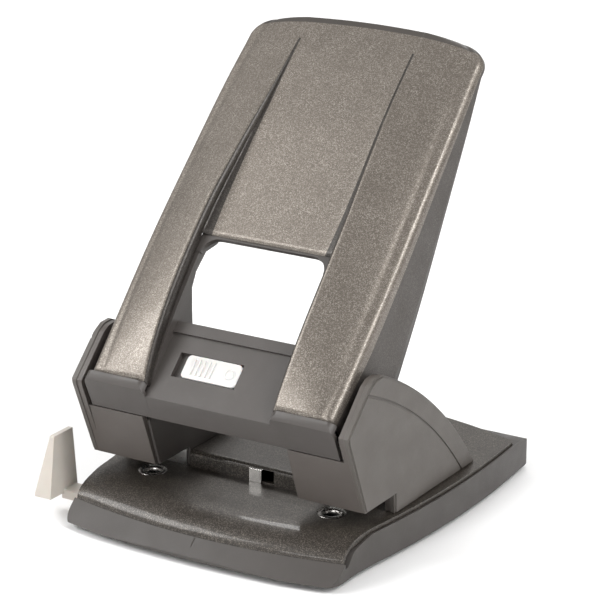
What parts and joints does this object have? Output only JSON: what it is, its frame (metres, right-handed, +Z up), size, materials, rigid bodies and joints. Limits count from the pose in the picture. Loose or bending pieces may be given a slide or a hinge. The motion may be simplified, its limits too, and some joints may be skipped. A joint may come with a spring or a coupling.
{
  "type": "hole punch",
  "caption": "Heavy-duty desk punch with sprung punch pins under a broad sheet-metal lever, a lever lock, a paper stop, a side paper guide and a chip hatch.",
  "frame": {"origin": "on the surface the feet stand on, under the middle of the whole punch with its guide drawn in and its lever raised", "axes": "+Z up, +X to the punch's right as a user in front of it sees it, +Y from the front lip to the rear"},
  "size_m": [0.1416, 0.1574, 0.1771],
  "materials": {
    "dark_plastic": "fine satin, warm dark grey",
    "table_metal": "glossy clear coat over fine metallic grey",
    "lever_metal": "satin metallic grey-beige",
    "foot_rubber": "matte",
    "bright_steel": "bright",
    "tool_steel": "ground",
    "frame_steel": "zinc plated",
    "fastener_steel": "zinc plated",
    "spring_steel": "drawn wire and strip",
    "white_plastic": "smooth white"
  },
  "bodies": {
    "base": {"base_tray": "dark_plastic", "base_plate": "table_metal", "rubber_feet": "foot_rubber", "tray_screws": "fastener_steel", "frame_screws": "fastener_steel", "centre_tab": "bright_steel", "die_left": "tool_steel", "die_right": "tool_steel", "punch_frame_left": "frame_steel", "punch_frame_right": "frame_steel", "guide_bush_left": "tool_steel", "guide_bush_right": "tool_steel", "head_shell_left": "dark_plastic", "head_shell_right": "dark_plastic", "side_cover_left": "dark_plastic", "side_cover_right": "dark_plastic", "inner_panel_left": "dark_plastic", "inner_panel_right": "dark_plastic", "lever_axle": "bright_steel", "axle_circlips": "spring_steel", "pin_spring_left": "spring_steel", "pin_spring_right": "spring_steel", "guide_clip": "spring_steel"},
    "lever": {"lever_shell": "lever_metal", "lever_liner": "dark_plastic", "lever_arm_left": "frame_steel", "lever_arm_right": "frame_steel", "press_pin_left": "tool_steel", "press_pin_right": "tool_steel", "lever_rivets": "fastener_steel", "slider_detent": "spring_steel"},
    "pin_left": {"punch_pin_left": "tool_steel"},
    "pin_right": {"punch_pin_right": "tool_steel"},
    "lock": {"lock_slider": "white_plastic", "lock_bar": "frame_steel"},
    "guide": {"paper_guide": "white_plastic"},
    "hatch": {"chip_hatch": "dark_plastic"}
  },
  "joints": [
    {"name": "lever_hinge", "type": "hinge", "parent": "base", "child": "lever", "pos_m": [0, -0.05573, 0.05247], "axis": [-1, 0, 0], "range_deg": [0, 40], "stiffness_Nm_per_rad": 0.93, "springref_deg": -21.54},
    {"name": "pin_left_slide", "type": "slide", "parent": "base", "child": "pin_left", "axis": [0, 0, -1], "range_m": [0, 0.0099], "deforming": ["pin_spring_left"]},
    {"name": "pin_right_slide", "type": "slide", "parent": "base", "child": "pin_right", "axis": [0, 0, -1], "range_m": [0, 0.0099], "deforming": ["pin_spring_right"]},
    {"name": "lock_slide", "type": "slide", "parent": "lever", "child": "lock", "axis": [-1, 0, 0], "range_m": [0, 0.0035]},
    {"name": "guide_slide", "type": "slide", "parent": "base", "child": "guide", "axis": [-1, 0, 0], "range_m": [0, 0.055]},
    {"name": "hatch_hinge", "type": "hinge", "parent": "base", "child": "hatch", "pos_m": [0, -0.01325, 0.0051], "axis": [1, 0, 0], "range_deg": [0, 75]}
  ],
  "couplings": [
    {"joint": "pin_left_slide", "follows": "lever_hinge", "m_per_rad": 0.01404},
    {"joint": "pin_right_slide", "follows": "lever_hinge", "m_per_rad": 0.01404}
  ]
}
